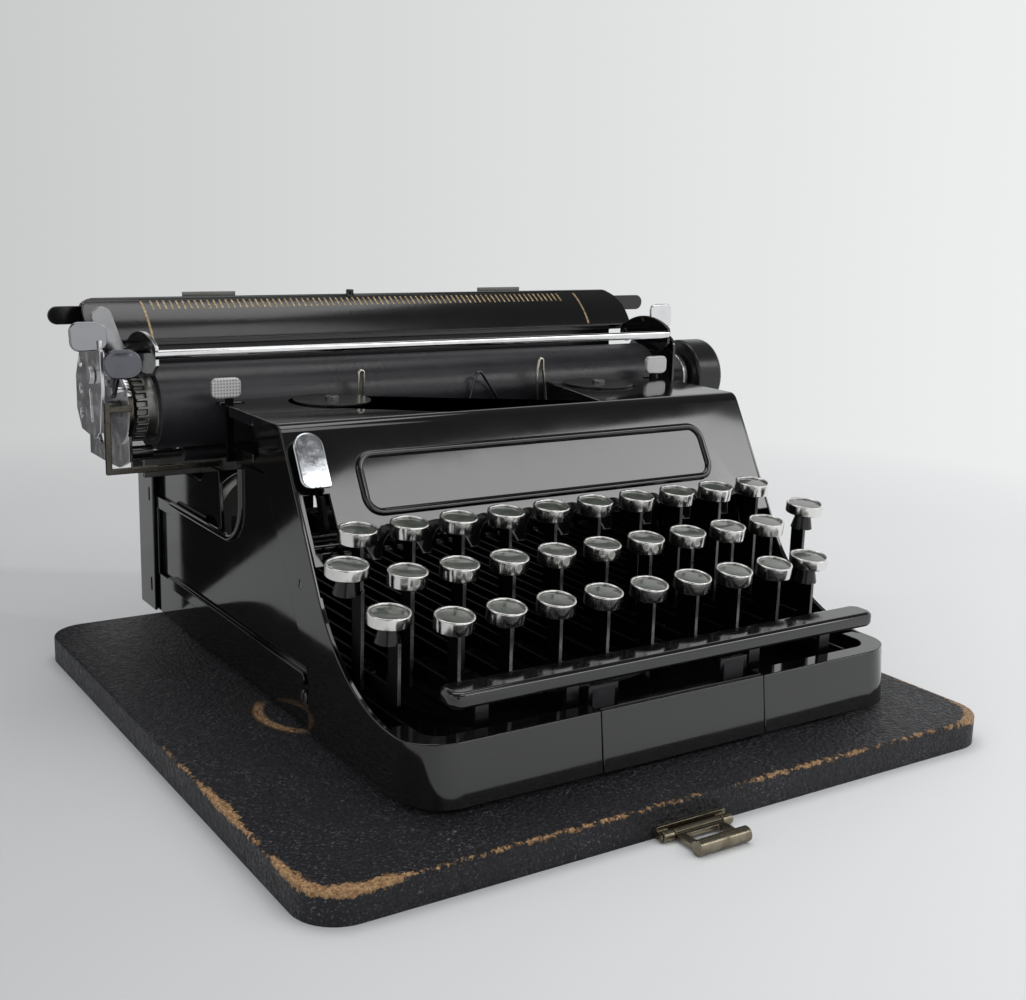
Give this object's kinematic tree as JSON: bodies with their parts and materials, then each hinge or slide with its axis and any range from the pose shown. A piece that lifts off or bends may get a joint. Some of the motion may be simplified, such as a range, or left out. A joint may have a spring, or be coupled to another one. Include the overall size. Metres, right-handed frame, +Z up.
{
  "type": "portable typewriter",
  "caption": "Portable manual typewriter on the base board of its case, with moving keys, shift keys, space bar, carriage, platen, typebar and ribbon spools.",
  "frame": {"origin": "middle of the foot of the bounding box, on the underside of the case board", "axes": "X along the keyboard to the typist's right, Y from the typist to the back, Z up"},
  "size_m": [0.2926, 0.2888, 0.1467],
  "materials": {
    "board": "painted black",
    "enamel": "gloss enamel",
    "frame_black": "satin enamel",
    "space_bar": "gloss",
    "aged_nickel": "tarnished",
    "nickel": "nickel plate",
    "chrome": "polished",
    "dark_chrome": "polished",
    "steel": "oiled",
    "spool": "satin",
    "white_tab": "satin",
    "rubber": "ground",
    "knob": "gloss"
  },
  "bodies": {
    "machine": {"case_board": "board", "base_pan": "enamel", "front_shell": "enamel", "side_plates": "enamel", "rear_cover": "enamel", "main_frame": "frame_black", "key_comb": "steel", "type_segment": "steel", "typebars": "steel"},
    "board_hasp": {"board_hasp": "aged_nickel"},
    "space_bar": {"space_bar": "space_bar"},
    "shift_caps": {"shift_caps": "nickel"},
    "shift_figures": {"shift_figures": "nickel"},
    "back_space": {"back_space": "chrome"},
    "typebar_centre": {"typebar_centre": "steel"},
    "ribbon_spool_left": {"ribbon_spool_left": "spool"},
    "ribbon_spool_right": {"ribbon_spool_right": "spool"},
    "ribbon_vibrator": {"ribbon_vibrator": "steel"},
    "ribbon_reverse": {"ribbon_reverse": "white_tab"},
    "carriage": {"carriage_truck": "steel"},
    "platen_lift": {"platen_frame": "frame_black", "paper_table": "enamel"},
    "platen": {"platen": "rubber", "platen_knob": "knob"},
    "line_space_lever": {"line_space_lever": "chrome"},
    "carriage_release": {"carriage_release": "chrome"},
    "ratchet_release": {"ratchet_release": "dark_chrome"},
    "paper_bail": {"paper_bail": "chrome"},
    "paper_release": {"paper_release": "white_tab"},
    "margin_stop_left": {"margin_stop_left": "nickel"},
    "margin_stop_right": {"margin_stop_right": "nickel"},
    "mainspring_drum": {"mainspring_drum": "steel"},
    "base_catches": {"base_catches": "steel"},
    "key_top_1": {"key_top_1": "nickel"},
    "key_top_2": {"key_top_2": "nickel"},
    "key_top_3": {"key_top_3": "nickel"},
    "key_top_4": {"key_top_4": "nickel"},
    "key_top_5": {"key_top_5": "nickel"},
    "key_top_6": {"key_top_6": "nickel"},
    "key_top_7": {"key_top_7": "nickel"},
    "key_top_8": {"key_top_8": "nickel"},
    "key_top_9": {"key_top_9": "nickel"},
    "key_top_10": {"key_top_10": "nickel"},
    "key_middle_1": {"key_middle_1": "nickel"},
    "key_middle_2": {"key_middle_2": "nickel"},
    "key_middle_3": {"key_middle_3": "nickel"},
    "key_middle_4": {"key_middle_4": "nickel"},
    "key_middle_5": {"key_middle_5": "nickel"},
    "key_middle_6": {"key_middle_6": "nickel"},
    "key_middle_7": {"key_middle_7": "nickel"},
    "key_middle_8": {"key_middle_8": "nickel"},
    "key_middle_9": {"key_middle_9": "nickel"},
    "key_bottom_1": {"key_bottom_1": "nickel"},
    "key_bottom_2": {"key_bottom_2": "nickel"},
    "key_bottom_3": {"key_bottom_3": "nickel"},
    "key_bottom_4": {"key_bottom_4": "nickel"},
    "key_bottom_5": {"key_bottom_5": "nickel"},
    "key_bottom_6": {"key_bottom_6": "nickel"},
    "key_bottom_7": {"key_bottom_7": "nickel"},
    "key_bottom_8": {"key_bottom_8": "nickel"}
  },
  "joints": [
    {"name": "board_hasp_hinge", "type": "hinge", "parent": "machine", "child": "board_hasp", "pos_m": [-0.0177, -0.13045, 0.0018], "axis": [-1, 0, 0], "range_deg": [0, 85]},
    {"name": "space_bar_hinge", "type": "hinge", "parent": "machine", "child": "space_bar", "pos_m": [0.0018, 0.02645, 0.0258], "axis": [1, 0, 0], "range_deg": [0, 2.5], "stiffness_Nm_per_rad": 2, "springref_deg": -3.44},
    {"name": "shift_caps_hinge", "type": "hinge", "parent": "machine", "child": "shift_caps", "pos_m": [0.0018, 0.08445, 0.0368], "axis": [1, 0, 0], "range_deg": [0, 3.01]},
    {"name": "shift_figures_hinge", "type": "hinge", "parent": "machine", "child": "shift_figures", "pos_m": [0.0018, 0.08445, 0.0368], "axis": [1, 0, 0], "range_deg": [0, 3], "stiffness_Nm_per_rad": 1.5, "springref_deg": -3.44},
    {"name": "back_space_hinge", "type": "hinge", "parent": "machine", "child": "back_space", "pos_m": [-0.0912, 0.02645, 0.0803], "axis": [1, 0, 0], "range_deg": [0, 5], "stiffness_Nm_per_rad": 0.4, "springref_deg": -3.44},
    {"name": "typebar_centre_hinge", "type": "hinge", "parent": "machine", "child": "typebar_centre", "pos_m": [0.0128, 0.02811, 0.08589], "axis": [-1, 0, 0], "range_deg": [0, 110]},
    {"name": "ribbon_spool_left_hinge", "type": "hinge", "parent": "machine", "child": "ribbon_spool_left", "pos_m": [-0.0592, 0.03645, 0.1003], "axis": [0, 0, 1], "continuous": true},
    {"name": "ribbon_spool_right_hinge", "type": "hinge", "parent": "machine", "child": "ribbon_spool_right", "pos_m": [0.0628, 0.03645, 0.1003], "axis": [0, 0, 1], "continuous": true},
    {"name": "ribbon_vibrator_slide", "type": "slide", "parent": "machine", "child": "ribbon_vibrator", "axis": [0, 0, 1], "range_m": [0, 0.005]},
    {"name": "ribbon_reverse_slide", "type": "slide", "parent": "machine", "child": "ribbon_reverse", "axis": [1, 0, 0], "range_m": [-0.002, 0.002]},
    {"name": "carriage_slide", "type": "slide", "parent": "machine", "child": "carriage", "axis": [1, 0, 0], "range_m": [-0.085, 0.085]},
    {"name": "platen_lift_slide", "type": "slide", "parent": "carriage", "child": "platen_lift", "axis": [0, 0, 1], "range_m": [0, 0.006]},
    {"name": "platen_hinge", "type": "hinge", "parent": "platen_lift", "child": "platen", "pos_m": [0.0018, 0.06945, 0.1078], "axis": [1, 0, 0], "continuous": true},
    {"name": "line_space_lever_hinge", "type": "hinge", "parent": "platen_lift", "child": "line_space_lever", "pos_m": [-0.13615, 0.07035, 0.1204], "axis": [1, 0, 0], "range_deg": [0, 15], "stiffness_Nm_per_rad": 0.3, "springref_deg": -5.73},
    {"name": "carriage_release_hinge", "type": "hinge", "parent": "platen_lift", "child": "carriage_release", "pos_m": [-0.12975, 0.07545, 0.1168], "axis": [-1, 0, 0], "range_deg": [0, 7], "stiffness_Nm_per_rad": 0.2, "springref_deg": -5.73},
    {"name": "ratchet_release_hinge", "type": "hinge", "parent": "platen_lift", "child": "ratchet_release", "pos_m": [-0.13215, 0.06305, 0.1152], "axis": [1, 0, 0], "range_deg": [0, 10]},
    {"name": "paper_bail_hinge", "type": "hinge", "parent": "platen_lift", "child": "paper_bail", "pos_m": [0.0018, 0.08295, 0.1273], "axis": [-1, 0, 0], "range_deg": [0, 55]},
    {"name": "paper_release_hinge", "type": "hinge", "parent": "platen_lift", "child": "paper_release", "pos_m": [0.12465, 0.07595, 0.1183], "axis": [1, 0, 0], "range_deg": [0, 20]},
    {"name": "margin_stop_left_slide", "type": "slide", "parent": "platen_lift", "child": "margin_stop_left", "axis": [1, 0, 0], "range_m": [-0.004, 0.055]},
    {"name": "margin_stop_right_slide", "type": "slide", "parent": "platen_lift", "child": "margin_stop_right", "axis": [1, 0, 0], "range_m": [-0.045, 0.018]},
    {"name": "mainspring_drum_hinge", "type": "hinge", "parent": "machine", "child": "mainspring_drum", "pos_m": [-0.0582, 0.11645, 0.0523], "axis": [0, 1, 0], "range_deg": [-275, 275]},
    {"name": "base_catches_slide", "type": "slide", "parent": "machine", "child": "base_catches", "axis": [1, 0, 0], "range_m": [0, 0.002], "stiffness_N_per_m": 300, "springref_m": -0.002},
    {"name": "key_top_1_hinge", "type": "hinge", "parent": "machine", "child": "key_top_1", "pos_m": [-0.0837, 0.08445, 0.0368], "axis": [1, 0, 0], "range_deg": [0, 3.9], "stiffness_Nm_per_rad": 0.5, "springref_deg": -2.86},
    {"name": "key_top_2_hinge", "type": "hinge", "parent": "machine", "child": "key_top_2", "pos_m": [-0.0647, 0.08445, 0.0368], "axis": [1, 0, 0], "range_deg": [0, 3.9], "stiffness_Nm_per_rad": 0.5, "springref_deg": -2.86},
    {"name": "key_top_3_hinge", "type": "hinge", "parent": "machine", "child": "key_top_3", "pos_m": [-0.0457, 0.08445, 0.0368], "axis": [1, 0, 0], "range_deg": [0, 3.9], "stiffness_Nm_per_rad": 0.5, "springref_deg": -2.86},
    {"name": "key_top_4_hinge", "type": "hinge", "parent": "machine", "child": "key_top_4", "pos_m": [-0.0267, 0.08445, 0.0368], "axis": [1, 0, 0], "range_deg": [0, 3.9], "stiffness_Nm_per_rad": 0.5, "springref_deg": -2.86},
    {"name": "key_top_5_hinge", "type": "hinge", "parent": "machine", "child": "key_top_5", "pos_m": [-0.0077, 0.08445, 0.0368], "axis": [1, 0, 0], "range_deg": [0, 3.9], "stiffness_Nm_per_rad": 0.5, "springref_deg": -2.86},
    {"name": "key_top_6_hinge", "type": "hinge", "parent": "machine", "child": "key_top_6", "pos_m": [0.0113, 0.08445, 0.0368], "axis": [1, 0, 0], "range_deg": [0, 3.9], "stiffness_Nm_per_rad": 0.5, "springref_deg": -2.86},
    {"name": "key_top_7_hinge", "type": "hinge", "parent": "machine", "child": "key_top_7", "pos_m": [0.0303, 0.08445, 0.0368], "axis": [1, 0, 0], "range_deg": [0, 3.9], "stiffness_Nm_per_rad": 0.5, "springref_deg": -2.86},
    {"name": "key_top_8_hinge", "type": "hinge", "parent": "machine", "child": "key_top_8", "pos_m": [0.0493, 0.08445, 0.0368], "axis": [1, 0, 0], "range_deg": [0, 3.9], "stiffness_Nm_per_rad": 0.5, "springref_deg": -2.86},
    {"name": "key_top_9_hinge", "type": "hinge", "parent": "machine", "child": "key_top_9", "pos_m": [0.0683, 0.08445, 0.0368], "axis": [1, 0, 0], "range_deg": [0, 3.9], "stiffness_Nm_per_rad": 0.5, "springref_deg": -2.86},
    {"name": "key_top_10_hinge", "type": "hinge", "parent": "machine", "child": "key_top_10", "pos_m": [0.0873, 0.08445, 0.0368], "axis": [1, 0, 0], "range_deg": [0, 3.9], "stiffness_Nm_per_rad": 0.5, "springref_deg": -2.86},
    {"name": "key_middle_1_hinge", "type": "hinge", "parent": "machine", "child": "key_middle_1", "pos_m": [-0.07737, 0.08445, 0.0368], "axis": [1, 0, 0], "range_deg": [0, 3.2], "stiffness_Nm_per_rad": 0.5, "springref_deg": -2.86},
    {"name": "key_middle_2_hinge", "type": "hinge", "parent": "machine", "child": "key_middle_2", "pos_m": [-0.05837, 0.08445, 0.0368], "axis": [1, 0, 0], "range_deg": [0, 3.2], "stiffness_Nm_per_rad": 0.5, "springref_deg": -2.86},
    {"name": "key_middle_3_hinge", "type": "hinge", "parent": "machine", "child": "key_middle_3", "pos_m": [-0.03937, 0.08445, 0.0368], "axis": [1, 0, 0], "range_deg": [0, 3.2], "stiffness_Nm_per_rad": 0.5, "springref_deg": -2.86},
    {"name": "key_middle_4_hinge", "type": "hinge", "parent": "machine", "child": "key_middle_4", "pos_m": [-0.02037, 0.08445, 0.0368], "axis": [1, 0, 0], "range_deg": [0, 3.2], "stiffness_Nm_per_rad": 0.5, "springref_deg": -2.86},
    {"name": "key_middle_5_hinge", "type": "hinge", "parent": "machine", "child": "key_middle_5", "pos_m": [-0.00137, 0.08445, 0.0368], "axis": [1, 0, 0], "range_deg": [0, 3.2], "stiffness_Nm_per_rad": 0.5, "springref_deg": -2.86},
    {"name": "key_middle_6_hinge", "type": "hinge", "parent": "machine", "child": "key_middle_6", "pos_m": [0.01763, 0.08445, 0.0368], "axis": [1, 0, 0], "range_deg": [0, 3.2], "stiffness_Nm_per_rad": 0.5, "springref_deg": -2.86},
    {"name": "key_middle_7_hinge", "type": "hinge", "parent": "machine", "child": "key_middle_7", "pos_m": [0.03663, 0.08445, 0.0368], "axis": [1, 0, 0], "range_deg": [0, 3.2], "stiffness_Nm_per_rad": 0.5, "springref_deg": -2.86},
    {"name": "key_middle_8_hinge", "type": "hinge", "parent": "machine", "child": "key_middle_8", "pos_m": [0.05563, 0.08445, 0.0368], "axis": [1, 0, 0], "range_deg": [0, 3.2], "stiffness_Nm_per_rad": 0.5, "springref_deg": -2.86},
    {"name": "key_middle_9_hinge", "type": "hinge", "parent": "machine", "child": "key_middle_9", "pos_m": [0.07463, 0.08445, 0.0368], "axis": [1, 0, 0], "range_deg": [0, 3.2], "stiffness_Nm_per_rad": 0.5, "springref_deg": -2.86},
    {"name": "key_bottom_1_hinge", "type": "hinge", "parent": "machine", "child": "key_bottom_1", "pos_m": [-0.07103, 0.08445, 0.0368], "axis": [1, 0, 0], "range_deg": [0, 3.2], "stiffness_Nm_per_rad": 0.5, "springref_deg": -2.86},
    {"name": "key_bottom_2_hinge", "type": "hinge", "parent": "machine", "child": "key_bottom_2", "pos_m": [-0.05203, 0.08445, 0.0368], "axis": [1, 0, 0], "range_deg": [0, 3.2], "stiffness_Nm_per_rad": 0.5, "springref_deg": -2.86},
    {"name": "key_bottom_3_hinge", "type": "hinge", "parent": "machine", "child": "key_bottom_3", "pos_m": [-0.03303, 0.08445, 0.0368], "axis": [1, 0, 0], "range_deg": [0, 3.2], "stiffness_Nm_per_rad": 0.5, "springref_deg": -2.86},
    {"name": "key_bottom_4_hinge", "type": "hinge", "parent": "machine", "child": "key_bottom_4", "pos_m": [-0.01403, 0.08445, 0.0368], "axis": [1, 0, 0], "range_deg": [0, 3.2], "stiffness_Nm_per_rad": 0.5, "springref_deg": -2.86},
    {"name": "key_bottom_5_hinge", "type": "hinge", "parent": "machine", "child": "key_bottom_5", "pos_m": [0.00497, 0.08445, 0.0368], "axis": [1, 0, 0], "range_deg": [0, 3.2], "stiffness_Nm_per_rad": 0.5, "springref_deg": -2.86},
    {"name": "key_bottom_6_hinge", "type": "hinge", "parent": "machine", "child": "key_bottom_6", "pos_m": [0.02397, 0.08445, 0.0368], "axis": [1, 0, 0], "range_deg": [0, 3.2], "stiffness_Nm_per_rad": 0.5, "springref_deg": -2.86},
    {"name": "key_bottom_7_hinge", "type": "hinge", "parent": "machine", "child": "key_bottom_7", "pos_m": [0.04297, 0.08445, 0.0368], "axis": [1, 0, 0], "range_deg": [0, 3.2], "stiffness_Nm_per_rad": 0.5, "springref_deg": -2.86},
    {"name": "key_bottom_8_hinge", "type": "hinge", "parent": "machine", "child": "key_bottom_8", "pos_m": [0.06197, 0.08445, 0.0368], "axis": [1, 0, 0], "range_deg": [0, 3.2], "stiffness_Nm_per_rad": 0.5, "springref_deg": -2.86}
  ],
  "couplings": [
    {"joint": "typebar_centre_hinge", "follows": "key_top_6_hinge", "ratio": 28.18},
    {"joint": "ribbon_vibrator_slide", "follows": "key_top_6_hinge", "m_per_rad": 0.07331},
    {"joint": "ribbon_spool_right_hinge", "follows": "ribbon_spool_left_hinge", "ratio": 1},
    {"joint": "shift_caps_hinge", "follows": "platen_lift_slide", "rad_per_m": 8.7266},
    {"joint": "mainspring_drum_hinge", "follows": "carriage_slide", "rad_per_m": 55.556}
  ]
}
